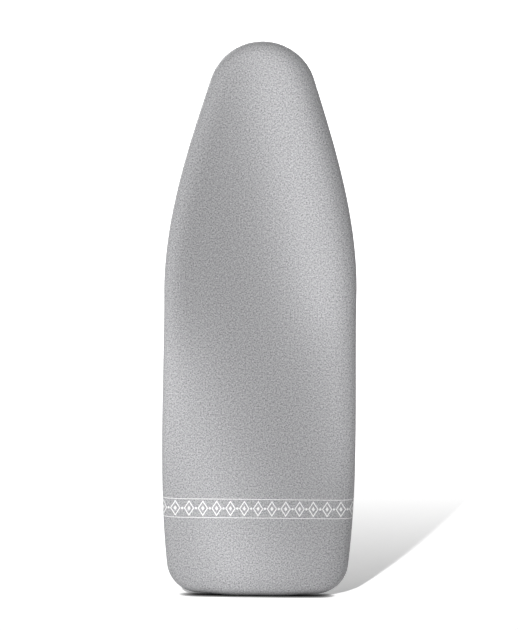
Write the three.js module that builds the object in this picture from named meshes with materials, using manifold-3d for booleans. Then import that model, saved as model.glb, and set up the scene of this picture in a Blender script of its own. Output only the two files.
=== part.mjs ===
// A fitted ironing board cover, drawn up to the shape of its board and standing on its blunt end.
// Millimetres. +Z runs up to the nose, the ironing face looks along -Y and the laced back along +Y.
// Every layer is an offset of one outline, the edge of the board that the cover is cut for, whose
// ironing side is the plane y = 0 until the finished cover is centred on the origin.

import * as THREE from "three";
import { mergeVertices } from "three/addons/utils/BufferGeometryUtils.js";
import Module from "manifold-3d";

// The board that the cover is cut for
const boardLength = 1190;
const boardThickness = 30;
const boardEdgeRadius = 12;
const noseRadius = 107;
const noseAngle = 18; // degrees off the long axis where the nose round meets the taper
const shoulderFromNose = 536;
const shoulderWidth = 397;
const shoulderLean = 0.5; // degrees that the long sides still open out at the shoulders
const heelWidth = 376;
const heelCornerRadius = 62;
const heelCrown = 5; // how far the blunt end bulges past its two corners
const heelRise = 2.5; // degrees that the blunt end climbs towards its corners
const footWidth = 80; // flat stretch of the blunt end that the cover stands on
const sideDraw = 6.4; // degrees that the long sides draw in towards the blunt end

// Layers of the cover, from the board outwards
const boardClearance = 0.6;
const feltThickness = 5;
const foamThickness = 3;
const fabricThickness = 0.8;
const layerGap = 0.3;
const faceCrown = 4; // loft of the padding in the middle of the ironing face

// The turned edge, the skirt behind the board and its gathers
const rearFoldRadius = 9;
const turnUnder = 12; // face fabric that lies flat on the back, from the fold to the seam
const bindingWidth = 10;
const hemReach = 88; // from the board's edge to the middle of the drawcord tunnel
const hemNoseRadius = 52;
const hemCornerRadius = 52;
const gatherHeight = 3;
const gatherPlace = 0.55; // where the gathers stand highest, as a share of the way to the tunnel

// The drawcord and its tunnel
const tunnelWidth = 13;
const tunnelHeight = 6.4;
const tunnelGap = 52; // open stretch of the tunnel at the blunt end, where the cord comes out
const cordDiameter = 3.5;
const cordClearance = 0.3;
const cordGap = 0.4; // between the two cords where they run side by side
const cordExitEase = 0.6; // share of the drop to the lock over which a cord straightens

// The spring cord lock and the moulded end that joins both cord ends
const lockHeight = 58; // of the barrel's axis above the foot of the cover
const lockRadius = 7;
const lockWall = 1.8;
const lockMouth = 6.5; // from the cords to the barrel's open end
const lockSlideUp = 8;
const lockSlideDown = 12;
const plungerTravel = 3.5;
const plungerWeb = 2; // plunger material behind the cords
const plungerFit = 0.3;
const buttonRadius = 6.2;
const buttonLength = 4.5;
const buttonChamfer = 1.7;
const springLength = 6.5;
const springWire = 0.7;
const springTurns = 3;
const pullRadius = 5.6;
const pullNeckRadius = 5.1;
const pullChamfer = 1.6;
const pullLength = 22;
const pullBelly = 12; // height of the moulded end's full width above its foot
const pullBore = 12; // depth that each cord end is moulded in

// Elastic straps across the open back
const strapNames = ["lower", "middle", "upper"];
const strapFirstHeight = 250;
const strapPitch = 230;
const strapWidth = 25;
const strapThickness = 1.6;
const strapClimb = 9; // run over which a strap climbs from the skirt to the top of the tunnel
const strapTunnelClearance = 2.5;
const anchorLength = 24;
const hingeGap = 1.2; // half of the fold line between a sewn strap end and its free length
const patchLength = 36;
const patchThickness = 1.3;
const tabLength = 12; // bare strap end beyond the hook patch, to pull it open by

// Care label
const labelHeightAt = 370;
const labelLength = 38;
const labelReach = 26;
const labelThickness = 0.6;

// Fineness of the facets: divisions of each stretch of half an outline
const heelSteps = 2;
const cornerSteps = 6;
const sideSteps = 8;
const taperSteps = 8;
const noseSteps = 8;
const exitSteps = 8;
const roundSides = 24;
const boreSides = 16;
const cordSides = 8;
const springSides = 5;
const springTurnSteps = 8;

const degrees = THREE.MathUtils.degToRad;

// Offsets from the board's edge, outwards, and depths behind the board's ironing side
const feltInside = boardClearance;
const feltOutside = feltInside + feltThickness;
const foamInside = feltOutside + layerGap;
const foamOutside = foamInside + foamThickness;
const faceInside = foamOutside + layerGap;
const faceOutside = faceInside + fabricThickness;
const backInside = boardThickness + boardClearance;
const backOutside = backInside + fabricThickness;
const foldDepth = backOutside - rearFoldRadius;
const seamOffset = faceOutside - rearFoldRadius - turnUnder;
const tunnelFloor = backOutside + layerGap;
const tunnelTop = tunnelFloor + tunnelHeight;
const cordDepth = tunnelFloor + tunnelHeight / 2;

// Materials
function finish(color, roughness, metalness = 0) {
  return new THREE.MeshStandardMaterial({ color, roughness, metalness });
}
const silverCotton = finish(0xb4b5b8, 0.45, 0.55);
const foam = finish(0xe9e4d6, 0.95);
const felt = finish(0xdedcd6, 1.0);
const skirtCotton = finish(0xa9abae, 0.9);
const bindingTape = finish(0x8f9195, 0.85);
const braid = finish(0xe6e6e4, 0.8);
const lockPlastic = finish(0x3a3c40, 0.45);
const springSteel = finish(0xb9bcc0, 0.3, 1.0);
const elastic = finish(0xc9cacc, 0.85);
const hookTape = finish(0x6f7276, 0.9);
const labelSatin = finish(0xf4f3ee, 0.5);

const cover = new THREE.Group();

function addPiece(name, geometry, material, parent = cover) {
  const mesh = new THREE.Mesh(geometry, material);
  mesh.name = name;
  parent.add(mesh);
  return mesh;
}

// The outline, as a closed loop of stations with their outward normals

// A cubic curve between two points that leaves and arrives in given directions.
function tangentCurve(from, fromDegrees, to, toDegrees) {
  const reach = from.distanceTo(to) / 3;
  const along = (angle) => new THREE.Vector2(Math.cos(degrees(angle)), Math.sin(degrees(angle)));
  const leave = along(fromDegrees).multiplyScalar(reach).add(from);
  const arrive = along(toDegrees).multiplyScalar(-reach).add(to);
  return new THREE.CubicBezierCurve(from, leave, arrive, to);
}

function arc(centre, radius, fromDegrees, toDegrees) {
  const [from, to] = [degrees(fromDegrees), degrees(toDegrees)];
  return new THREE.EllipseCurve(centre.x, centre.y, radius, radius, from, to, false);
}

// Stations of a board-shaped outline, from the middle of the blunt end anticlockwise round the nose.
function outlineLoop({ foot, tip, nose, shoulderHeight, shoulderHalf, heelHalf, corner, flatHalf }) {
  const cornerCentre = new THREE.Vector2(heelHalf - corner, foot + heelCrown + corner);
  const cornerArc = arc(cornerCentre, corner, -90 + heelRise, -sideDraw);
  const noseArc = arc(new THREE.Vector2(0, tip - nose), nose, noseAngle, 90);
  const shoulder = new THREE.Vector2(shoulderHalf, shoulderHeight);
  const flatEnd = new THREE.Vector2(flatHalf, foot);
  const flat = new THREE.LineCurve(new THREE.Vector2(0, foot), flatEnd);
  const heel = tangentCurve(flatEnd, 0, cornerArc.getPoint(0), heelRise);
  const side = tangentCurve(cornerArc.getPoint(1), 90 - sideDraw, shoulder, 90 - shoulderLean);
  const taper = tangentCurve(shoulder, 90 - shoulderLean, noseArc.getPoint(0), 90 + noseAngle);
  const evenly = (steps) => Array.from({ length: steps }, (_, i) => i / steps);
  const stretches = [
    { curve: flat, at: [0], gathered: false },
    { curve: heel, at: evenly(heelSteps), gathered: false },
    { curve: cornerArc, at: evenly(cornerSteps), gathered: true },
    { curve: side, at: evenly(sideSteps), gathered: false },
    { curve: taper, at: evenly(taperSteps), gathered: false },
    { curve: noseArc, at: [...evenly(noseSteps), 1], gathered: true },
  ];
  const right = stretches.flatMap(({ curve, at, gathered }) =>
    at.map((t, i) => {
      const point = curve.getPoint(t);
      const tangent = curve.getTangent(t);
      return { x: point.x, z: point.y, nx: tangent.y, nz: -tangent.x, gather: gathered ? i % 2 : 0 };
    }),
  );
  for (const end of [right[0], right.at(-1)]) {
    Object.assign(end, { x: 0, nx: 0, nz: Math.sign(end.nz) });
  }
  const left = right.slice(1, -1).reverse();
  return [...right, ...left.map((s) => ({ ...s, x: -s.x, nx: -s.nx }))];
}

const foot = faceOutside;
const tip = foot + boardLength;
const shoulderHeight = tip - shoulderFromNose;
const edge = outlineLoop({
  foot,
  tip,
  nose: noseRadius,
  shoulderHeight,
  shoulderHalf: shoulderWidth / 2,
  heelHalf: heelWidth / 2,
  corner: heelCornerRadius,
  flatHalf: footWidth / 2,
});
const hem = outlineLoop({
  foot: foot + hemReach,
  tip: tip - hemReach,
  nose: hemNoseRadius,
  shoulderHeight,
  shoulderHalf: shoulderWidth / 2 - hemReach,
  heelHalf: heelWidth / 2 - hemReach,
  corner: hemCornerRadius,
  flatHalf: tunnelGap / 2,
});

function offsetRing(loop, offset, y) {
  return loop.map((s) => new THREE.Vector3(s.x + s.nx * offset, y, s.z + s.nz * offset));
}

// Half the width of an outline at a height, on its right-hand side.
function halfWidthAt(loop, z) {
  const side = loop.slice(0, loop.length / 2 + 1);
  const above = side.findIndex((s) => s.z > z);
  const [a, b] = [side[above - 1], side[above]];
  return THREE.MathUtils.mapLinear(z, a.z, b.z, a.x, b.x);
}

// The same at both ends of a piece of the given length.
function halfWidthsAlong(loop, z, length) {
  return [z - length / 2, z + length / 2].map((end) => halfWidthAt(loop, end));
}

// Surfaces lofted through rings of equal count

// A closed surface through the rings. A ring whose points fall together closes an end; wrapped rings
// close on the first again.
function loft(rings, wrapped = false) {
  const count = rings[0].length;
  const corners = rings.flat().flatMap((p) => [p.x, p.y, p.z]);
  const faces = [];
  const strips = wrapped ? rings.length : rings.length - 1;
  for (let i = 0; i < strips; i++) {
    const [here, next] = [i * count, ((i + 1) % rings.length) * count];
    for (let k = 0; k < count; k++) {
      const l = (k + 1) % count;
      faces.push(here + k, here + l, next + l, here + k, next + l, next + k);
    }
  }
  const loose = new THREE.BufferGeometry();
  loose.setAttribute("position", new THREE.Float32BufferAttribute(corners, 3));
  loose.setIndex(faces);
  return facingOut(mergeVertices(loose));
}

// The same surface without its empty faces, turned so that they all point outwards.
function facingOut(geometry) {
  const position = geometry.getAttribute("position");
  const index = geometry.getIndex().array;
  const [a, b, c] = [new THREE.Vector3(), new THREE.Vector3(), new THREE.Vector3()];
  const kept = [];
  let volume = 0;
  for (let i = 0; i < index.length; i += 3) {
    const [p, q, r] = index.slice(i, i + 3);
    if (p === q || q === r || r === p) continue;
    kept.push([p, q, r]);
    a.fromBufferAttribute(position, p);
    b.fromBufferAttribute(position, q);
    c.fromBufferAttribute(position, r);
    volume += a.dot(b.cross(c));
  }
  geometry.setIndex(kept.flatMap(([p, q, r]) => (volume > 0 ? [p, q, r] : [p, r, q])));
  geometry.computeVertexNormals();
  return geometry;
}

// A section at each point of a line, square to it, with the section's own up side towards the given way.
function sections(line, section, upAt = () => new THREE.Vector3(0, 1, 0)) {
  return line.map((point, i) => {
    const before = line[Math.max(i - 1, 0)];
    const after = line[Math.min(i + 1, line.length - 1)];
    const along = after.clone().sub(before).normalize();
    const side = along.clone().cross(upAt(point)).normalize();
    const up = side.clone().cross(along);
    return section.map(({ x, y }) => point.clone().addScaledVector(side, x).addScaledVector(up, y));
  });
}

function solidTube(line, section, upAt) {
  const cap = (point) => section.map(() => point.clone());
  return loft([cap(line[0]), ...sections(line, section, upAt), cap(line.at(-1))]);
}

function regularSection(radius, sides) {
  return Array.from({ length: sides }, (_, i) => {
    const angle = ((i + 0.5) / sides) * 2 * Math.PI;
    return new THREE.Vector2(radius * Math.cos(angle), radius * Math.sin(angle));
  });
}

// Booleans, with manifold-3d
const wasm = await Module();
wasm.setup();

function toSolid(geometry) {
  const bare = geometry.clone();
  bare.deleteAttribute("normal");
  bare.deleteAttribute("uv");
  const merged = mergeVertices(bare);
  const vertProperties = new Float32Array(merged.getAttribute("position").array);
  const triVerts = new Uint32Array(merged.getIndex().array);
  return new wasm.Manifold(new wasm.Mesh({ numProp: 3, vertProperties, triVerts }));
}

function toGeometry(solid) {
  const { vertProperties, triVerts } = solid.getMesh();
  const geometry = new THREE.BufferGeometry();
  geometry.setAttribute("position", new THREE.BufferAttribute(vertProperties, 3));
  geometry.setIndex(new THREE.BufferAttribute(triVerts, 1));
  geometry.computeVertexNormals();
  return geometry;
}

function cut(geometry, ...tools) {
  return toGeometry(tools.reduce((solid, tool) => solid.subtract(toSolid(tool)), toSolid(geometry)));
}

// Padded layers: trays that lie on the board and turn round its edge

// Rings of one skin of a layer, from the spine of the ironing face out to the board's edge. The skin
// lies a given offset outside the board, and the face stands proud by a share of the crown.
const spineFoot = foot + heelCornerRadius;
const spineTip = tip - noseRadius;
const faceShares = [1, 0.7, 0.35];
const rollAngles = [0, 45, 90];

function faceRings(offset, crown) {
  const flatEdge = offsetRing(edge, -boardEdgeRadius, -offset);
  const inner = faceShares.map((share) =>
    flatEdge.map((p) => {
      const spine = new THREE.Vector3(0, p.y, THREE.MathUtils.clamp(p.z, spineFoot, spineTip));
      const point = p.clone().lerp(spine, share);
      point.y -= crown * (1 - (1 - share) ** 2);
      return point;
    }),
  );
  const radius = boardEdgeRadius + offset;
  const roll = rollAngles.map((angle) => {
    const out = radius * Math.sin(degrees(angle)) - boardEdgeRadius;
    return offsetRing(edge, out, boardEdgeRadius - radius * Math.cos(degrees(angle)));
  });
  return [...inner, ...roll];
}

function padLayer(inside, outside, insideCrown) {
  return loft([
    ...faceRings(outside, faceCrown),
    offsetRing(edge, outside, foldDepth),
    offsetRing(edge, inside, foldDepth),
    ...faceRings(inside, insideCrown).reverse(),
  ]);
}

addPiece("felt_pad", padLayer(feltInside, feltOutside, 0), felt);
addPiece("foam_sheet", padLayer(foamInside, foamOutside, faceCrown), foam);

// Face fabric: over the foam, round the edge and a little way onto the back
function faceSkin(offset, inset) {
  const radius = rearFoldRadius - inset;
  const fold = [0, 45, 90].map((angle) =>
    offsetRing(
      edge,
      faceOutside - rearFoldRadius + radius * Math.cos(degrees(angle)),
      foldDepth + radius * Math.sin(degrees(angle)),
    ),
  );
  return [...faceRings(offset, faceCrown), ...fold, offsetRing(edge, seamOffset, foldDepth + radius)];
}

const facePanel = loft([...faceSkin(faceOutside, 0), ...faceSkin(faceInside, fabricThickness).reverse()]);
addPiece("face_panel", facePanel, silverCotton);

// Skirt: flat behind the board from the seam to the mouth, gathered at the nose and the corners
const skirtStart = seamOffset - layerGap;
const bindingEnd = seamOffset - layerGap - bindingWidth / 2;

function skirtSkin(y) {
  const start = offsetRing(edge, bindingEnd - layerGap, y);
  const end = offsetRing(hem, tunnelWidth / 2 + layerGap, y);
  const gathers = start.map((p, i) => {
    const point = p.clone().lerp(end[i], gatherPlace);
    point.y += gatherHeight * edge[i].gather;
    return point;
  });
  return [offsetRing(edge, skirtStart, y), start, gathers, end, offsetRing(hem, -tunnelWidth / 2, y)];
}

addPiece("skirt", loft([...skirtSkin(backOutside), ...skirtSkin(backInside).reverse()], true), skirtCotton);

// Binding tape over the seam between the face fabric and the skirt
const bindingFloor = backOutside + layerGap;
const bindingTop = bindingFloor + fabricThickness;
const bindingRings = [
  offsetRing(edge, bindingEnd + bindingWidth, bindingFloor),
  offsetRing(edge, bindingEnd + bindingWidth, bindingTop),
  offsetRing(edge, bindingEnd, bindingTop),
  offsetRing(edge, bindingEnd, bindingFloor),
];
addPiece("seam_binding", loft(bindingRings, true), bindingTape);

// Drawcord tunnel: a tape sewn along the mouth as a flat pipe, open at the middle of the blunt end
function tunnelSection(inset) {
  const halfWidth = tunnelWidth / 2 - inset;
  const halfHeight = tunnelHeight / 2 - inset;
  const flat = halfWidth - halfHeight;
  return [
    [halfWidth, 0],
    [flat, halfHeight],
    [-flat, halfHeight],
    [-halfWidth, 0],
    [-flat, -halfHeight],
    [flat, -halfHeight],
  ].map(([x, y]) => new THREE.Vector2(x, y));
}

const tunnelLine = offsetRing(hem, 0, cordDepth).slice(1);
const tunnelRings = [
  ...sections(tunnelLine, tunnelSection(0)),
  ...sections(tunnelLine, tunnelSection(fabricThickness)).reverse(),
];
addPiece("drawcord_tunnel", loft(tunnelRings, true), bindingTape);

// Drawcord: round the tunnel, out at both of its ends, down through the lock and into the moulded end
const lockDepth = Math.max(backOutside + lockRadius, bindingTop + pullRadius) + layerGap;
const cordSpread = (cordDiameter + cordGap) / 2;
const straightTop = lockHeight + lockRadius + lockSlideUp + cordDiameter;
const pullTop = lockHeight - lockRadius - lockSlideDown - cordDiameter;
const cordEnd = pullTop - pullBore + layerGap;

function cordExit(mouth, depth) {
  const top = new THREE.Vector3(0, depth, straightTop);
  const leave = new THREE.Vector3(mouth.x / 2, mouth.y, mouth.z);
  const arrive = new THREE.Vector3(0, depth, THREE.MathUtils.lerp(straightTop, mouth.z, cordExitEase));
  const bend = new THREE.CubicBezierCurve3(mouth, leave, arrive, top);
  const down = [lockHeight, cordEnd].map((z) => new THREE.Vector3(0, depth, z));
  return [...bend.getPoints(exitSteps).slice(1), ...down];
}

const rightExit = cordExit(tunnelLine[0], lockDepth + cordSpread);
const leftExit = cordExit(tunnelLine.at(-1), lockDepth - cordSpread);
const cordLine = [...rightExit.reverse(), ...tunnelLine, ...leftExit];
const cordHalf = cordDiameter / 2;
addPiece("drawcord", solidTube(cordLine, regularSection(cordHalf, cordSides)), braid);

// Cord lock: a barrel across the cords, a sprung plunger in it, and a slot through both for the cords
const cordLock = new THREE.Group();
cordLock.position.set(0, lockDepth, lockHeight);
cover.add(cordLock);

function latheAlongX(profile) {
  const points = profile.map(([along, radius]) => new THREE.Vector2(radius, along));
  return new THREE.LatheGeometry(points, roundSides).rotateZ(-Math.PI / 2);
}

// A slot along Z that both cords pass through, from one place along the barrel to another.
function cordSlot(from, to) {
  const across = 2 * (cordSpread + cordHalf + cordClearance);
  const length = 4 * lockRadius;
  return new THREE.BoxGeometry(to - from, across, length).translate((from + to) / 2, 0, 0);
}

const boreRadius = lockRadius - lockWall;
const plungerFoot = -cordHalf - cordClearance - plungerWeb;
const boreFoot = plungerFoot - springLength;
const barrelFoot = boreFoot - lockWall;
const barrel = latheAlongX([
  [barrelFoot, 0],
  [barrelFoot, lockRadius - lockWall / 2],
  [barrelFoot + lockWall / 2, lockRadius],
  [lockMouth - lockWall / 2, lockRadius],
  [lockMouth, lockRadius - lockWall / 2],
  [lockMouth, boreRadius],
  [boreFoot, boreRadius],
  [boreFoot, 0],
]);
const barrelSlot = cordSlot(-cordHalf - cordClearance, cordHalf + cordClearance);
addPiece("cord_lock_body", cut(barrel, barrelSlot), lockPlastic, cordLock);

const stemRadius = boreRadius - plungerFit;
const buttonFoot = lockMouth + plungerTravel + plungerFit;
const plungerBlank = latheAlongX([
  [plungerFoot, 0],
  [plungerFoot, stemRadius],
  [buttonFoot, stemRadius],
  [buttonFoot, buttonRadius],
  [buttonFoot + buttonLength - buttonChamfer, buttonRadius],
  [buttonFoot + buttonLength, buttonRadius - buttonChamfer],
  [buttonFoot + buttonLength, 0],
]);
const plungerSlot = cordSlot(-cordHalf - cordClearance, cordHalf + cordClearance + plungerTravel);
addPiece("cord_lock_plunger", cut(plungerBlank, plungerSlot), lockPlastic, cordLock);

// Spring between the bottom of the barrel and the plunger, wound about the barrel's axis
const springRadius = stemRadius - springWire;
const springRun = springLength - springWire - 2 * layerGap;
const springSteps = springTurns * springTurnSteps;
const springLine = Array.from({ length: springSteps + 1 }, (_, i) => {
  const turn = (i / springTurnSteps) * 2 * Math.PI;
  const x = boreFoot + layerGap + springWire / 2 + (springRun * i) / springSteps;
  return new THREE.Vector3(x, springRadius * Math.cos(turn), springRadius * Math.sin(turn));
});
const fromAxis = (point) => new THREE.Vector3(0, point.y, point.z);
const spring = solidTube(springLine, regularSection(springWire / 2, springSides), fromAxis);
addPiece("cord_lock_spring", spring, springSteel, cordLock);

// Moulded cord end, with a blind bore for each end of the cord
const pullProfile = [
  [0, 0],
  [pullRadius - pullChamfer, 0],
  [pullRadius, pullChamfer],
  [pullRadius, pullBelly],
  [pullNeckRadius, pullLength],
  [0, pullLength],
].map(([radius, z]) => new THREE.Vector2(radius, z));
const pullBlank = new THREE.LatheGeometry(pullProfile, roundSides).rotateX(Math.PI / 2);
const pullBoreRadius = cordHalf + cordClearance;
const pullBores = [-cordSpread, cordSpread].map((y) =>
  new THREE.CylinderGeometry(pullBoreRadius, pullBoreRadius, 2 * pullBore, boreSides)
    .rotateX(Math.PI / 2)
    .translate(0, y, pullLength),
);
const cordPull = addPiece("cord_pull", cut(pullBlank, ...pullBores), lockPlastic);
cordPull.position.set(0, lockDepth, pullTop - pullLength);

// Straps: elastic webbing sewn to the skirt on one side, with a hook patch that closes on the other

// The outline of a strip of even thickness along a line of points in the X-Y plane.
function stripShape(line, thickness) {
  const sideways = line.map((_, i) => {
    const here = line[i];
    const before = line[Math.max(i - 1, 0)];
    const after = line[Math.min(i + 1, line.length - 1)];
    const inward = here.clone().sub(before).normalize();
    const outward = after.clone().sub(here).normalize();
    const along = inward.add(outward).normalize();
    const lean = i > 0 ? here.clone().sub(before).normalize().dot(along) : 1;
    return new THREE.Vector2(-along.y, along.x).multiplyScalar(thickness / 2 / lean);
  });
  const over = line.map((p, i) => p.clone().add(sideways[i]));
  const under = line.map((p, i) => p.clone().sub(sideways[i]));
  return new THREE.Shape([...under, ...over.reverse()]);
}

function strip(points, thickness, width) {
  const line = points.map(([x, y]) => new THREE.Vector2(x, y));
  const shape = stripShape(line, thickness);
  const flat = new THREE.ExtrudeGeometry(shape, { depth: width, bevelEnabled: false });
  return flat.translate(0, 0, -width / 2);
}

const strapSeat = backOutside + layerGap;
const strapLow = strapSeat + strapThickness / 2;
const strapHigh = tunnelTop + layerGap + strapThickness / 2;
const loopMiddle = strapSeat + patchThickness / 2;
const hookMiddle = loopMiddle + patchThickness + layerGap;
const strapClosed = hookMiddle + patchThickness / 2 + layerGap + strapThickness / 2;

strapNames.forEach((name, i) => {
  const height = strapFirstHeight + i * strapPitch;
  const group = new THREE.Group();
  group.position.z = height;
  cover.add(group);
  const hemSide = Math.max(...halfWidthsAlong(hem, height, strapWidth));
  const tunnelSide = hemSide + tunnelWidth / 2 + strapTunnelClearance;
  const level = tunnelSide + strapClimb;
  const free = [
    [-level + hingeGap, strapLow],
    [-tunnelSide, strapHigh],
    [tunnelSide, strapHigh],
    [level, strapClosed],
    [level + patchLength + tabLength, strapClosed],
  ];
  const sewn = [
    [-level - hingeGap - anchorLength, strapLow],
    [-level - hingeGap, strapLow],
  ];
  const patch = (y) => [
    [level, y],
    [level + patchLength, y],
  ];
  addPiece(`strap_${name}`, strip(free, strapThickness, strapWidth), elastic, group);
  addPiece(`strap_anchor_${name}`, strip(sewn, strapThickness, strapWidth), elastic, group);
  addPiece(`hook_patch_${name}`, strip(patch(hookMiddle), patchThickness, strapWidth), hookTape, group);
  addPiece(`loop_patch_${name}`, strip(patch(loopMiddle), patchThickness, strapWidth), hookTape, group);
});

// Care label: a bare satin tab that comes out from under the binding and lies on the skirt
const bindingSide = Math.min(...halfWidthsAlong(edge, labelHeightAt, labelLength)) + bindingEnd;
const labelSide = bindingSide - layerGap;
const labelLine = [
  [labelSide - labelReach, backOutside + layerGap + labelThickness / 2],
  [labelSide, backOutside + layerGap + labelThickness / 2],
];
addPiece("care_label", strip(labelLine, labelThickness, labelLength), labelSatin).position.z = labelHeightAt;

// The origin is below the middle of the cover, on the surface that its blunt end stands on.
const ironingBoardCover = new THREE.Group();
ironingBoardCover.add(cover);
const extent = new THREE.Box3().setFromObject(ironingBoardCover);
const middle = extent.getCenter(new THREE.Vector3());
cover.position.set(-middle.x, -middle.y, -extent.min.z);

export default ironingBoardCover;
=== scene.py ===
import math

import bmesh
import bpy
import numpy as np
from mathutils import Euler, Matrix, Vector


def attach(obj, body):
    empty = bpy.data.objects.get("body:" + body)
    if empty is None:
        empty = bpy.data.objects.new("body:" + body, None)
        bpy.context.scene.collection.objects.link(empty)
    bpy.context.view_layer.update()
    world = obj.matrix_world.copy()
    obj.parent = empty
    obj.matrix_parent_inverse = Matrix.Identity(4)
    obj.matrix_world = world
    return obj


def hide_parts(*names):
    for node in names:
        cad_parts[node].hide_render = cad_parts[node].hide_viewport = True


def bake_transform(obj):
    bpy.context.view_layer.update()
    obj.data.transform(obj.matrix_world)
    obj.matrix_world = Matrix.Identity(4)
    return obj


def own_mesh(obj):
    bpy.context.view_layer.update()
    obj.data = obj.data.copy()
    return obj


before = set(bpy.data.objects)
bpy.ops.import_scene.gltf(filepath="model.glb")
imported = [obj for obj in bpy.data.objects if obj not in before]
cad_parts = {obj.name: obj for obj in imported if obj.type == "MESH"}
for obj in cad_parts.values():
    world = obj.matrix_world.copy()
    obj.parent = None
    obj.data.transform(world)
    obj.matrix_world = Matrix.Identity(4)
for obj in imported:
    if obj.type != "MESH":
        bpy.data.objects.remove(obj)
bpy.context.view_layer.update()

# Felt pad: the layer next to the board, needle-punched felt about five millimetres thick.
# It is cut to the board's outline, wraps round its edge and stops behind it, and the cloth that is
# drawn over it holds it in place.
MM = 0.001
board_shape = {
    "foot": 10, "tip": 1200, "nose": 107, "shoulder": 198.5, "heel": 188, "corner": 62, "flat": 40}
board_face = -15.85  # depth of the board's ironing side in the part's frame
edge_radius = 12  # of the board's rounded edge
fold_depth = 22.4  # how far behind the ironing side the padding ends
spine = (72, 1093)  # the middle line of the ironing face, from the heel's round to the nose's
crown = (18, 38)  # degrees: how far the padding still slopes where its rolled edge ends, at heel and nose
crown_run = 46  # from there to where it lies flat
swell_height = 0.22  # of the padding's unevenness
swell_length = 170
felt_inside = 0.6
felt_outside = 5.6
felt_lip = ((5.0, 22.9, 1), (3.1, 23.2, 3), (1.2, 22.9, 5))  # its rounded end: out, depth, way gone


def heading(angle):
    return np.array([math.cos(math.radians(angle)), math.sin(math.radians(angle))])


def curve(start, first, second, end, t):
    """Points on a smooth curve that leaves its start for one point and comes to its end from another."""
    t = t[:, None]
    return (1 - t) ** 3 * start + 3 * (1 - t) ** 2 * t * first + 3 * (1 - t) * t**2 * second + t**3 * end


def eased(start, leaving, end, arriving):
    """A curve that leaves and arrives in given directions, without its last point."""
    reach = np.linalg.norm(end - start) / 3
    first = start + reach * heading(leaving)
    second = end - reach * heading(arriving)
    return curve(start, first, second, end, np.linspace(0, 1, 600, endpoint=False))


def rounded(centre, radius, first, last):
    turns = np.linspace(first, last, 300, endpoint=False)
    return centre + radius * np.array([heading(turn) for turn in turns])


def run_of(points):
    """The way gone along a line of points, at each of them."""
    return np.append(0, np.cumsum(np.linalg.norm(np.diff(points, axis=0), axis=1)))


def outline(foot, tip, nose, shoulder, heel, corner, flat, spacing):
    """Even stations round a board's outline, from the middle of its blunt end up the right-hand side.
    Gives their places and the ways outwards. The last station is the first one again."""
    corner_rise = 5  # of the corners, from the flat of the blunt end
    shoulder_height = 664
    heel_way, side_way, shoulder_way, nose_way = 2.5, 83.6, 89.5, 108  # degrees
    corner_centre = np.array([heel - corner, foot + corner_rise + corner])
    corner_end = corner_centre + corner * heading(side_way - 90)
    nose_centre = np.array([0, tip - nose])
    shoulder_place = np.array([shoulder, shoulder_height])
    flat_end = np.array([flat, foot])
    right = np.concatenate([
        np.linspace([0, foot], flat_end, 100, endpoint=False),
        eased(flat_end, 0, corner_centre + corner * heading(heel_way - 90), heel_way),
        rounded(corner_centre, corner, heel_way - 90, side_way - 90),
        eased(corner_end, side_way, shoulder_place, shoulder_way),
        eased(shoulder_place, shoulder_way, nose_centre + nose * heading(nose_way - 90), nose_way),
        rounded(nose_centre, nose, nose_way - 90, 90),
        [[0, tip]],
    ])
    loop = np.concatenate([right, right[-2::-1] * [-1, 1]])
    run = run_of(loop)
    even = np.linspace(0, run[-1], 2 * round(run[-1] / spacing / 2) + 1)
    place = np.stack([np.interp(even, run, loop[:, axis]) for axis in (0, 1)], 1)
    ahead = np.roll(place[:-1], -1, 0) - np.roll(place[:-1], 1, 0)
    ahead /= np.linalg.norm(ahead, axis=1)[:, None]
    away = np.stack([ahead[:, 1], -ahead[:, 0]], 1)
    return place, np.vstack([away, away[:1]])


def ring(line, offset, depth):
    """The outline moved outwards, at a depth behind the board's ironing side."""
    place, away = line
    flat = place + away * np.broadcast_to(offset, len(place))[:, None]
    return np.stack([flat[:, 0], board_face + np.broadcast_to(depth, len(place)), flat[:, 1]], 1)


def swell(x, z, length, seed):
    """A soft uneven swell with a size of about one, from waves of about the given length."""
    waves = np.random.default_rng(seed).uniform([0, 0, 0.7], [math.pi, 2 * math.pi, 1.5], (12, 3))
    total = np.zeros(np.shape(x))
    for way, start, stretch in waves:
        gone = x * math.cos(way) + z * math.sin(way)
        total += np.sin(2 * math.pi * gone / (length * stretch) + start)
    return total / math.sqrt(len(waves) / 2)


def slope(height):
    """The padding's slope in radians at the inner end of its rolled edge. It is drawn in most at the nose."""
    return np.radians(np.interp(height, spine, crown))


def crowned(place, edge):
    """How far the padding rises at points of the face, from how far inside its rolled edge they are."""
    inside = np.array([np.linalg.norm(edge - point, axis=1).min() for point in place])
    share = np.clip(inside / crown_run, 0, 1)
    rise = np.tan(slope(place[:, 1])) * crown_run / 3 * (1 - (1 - share) ** 3)
    return rise + share**2 * swell_height * swell(place[:, 0], place[:, 1], swell_length, 3)


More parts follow.
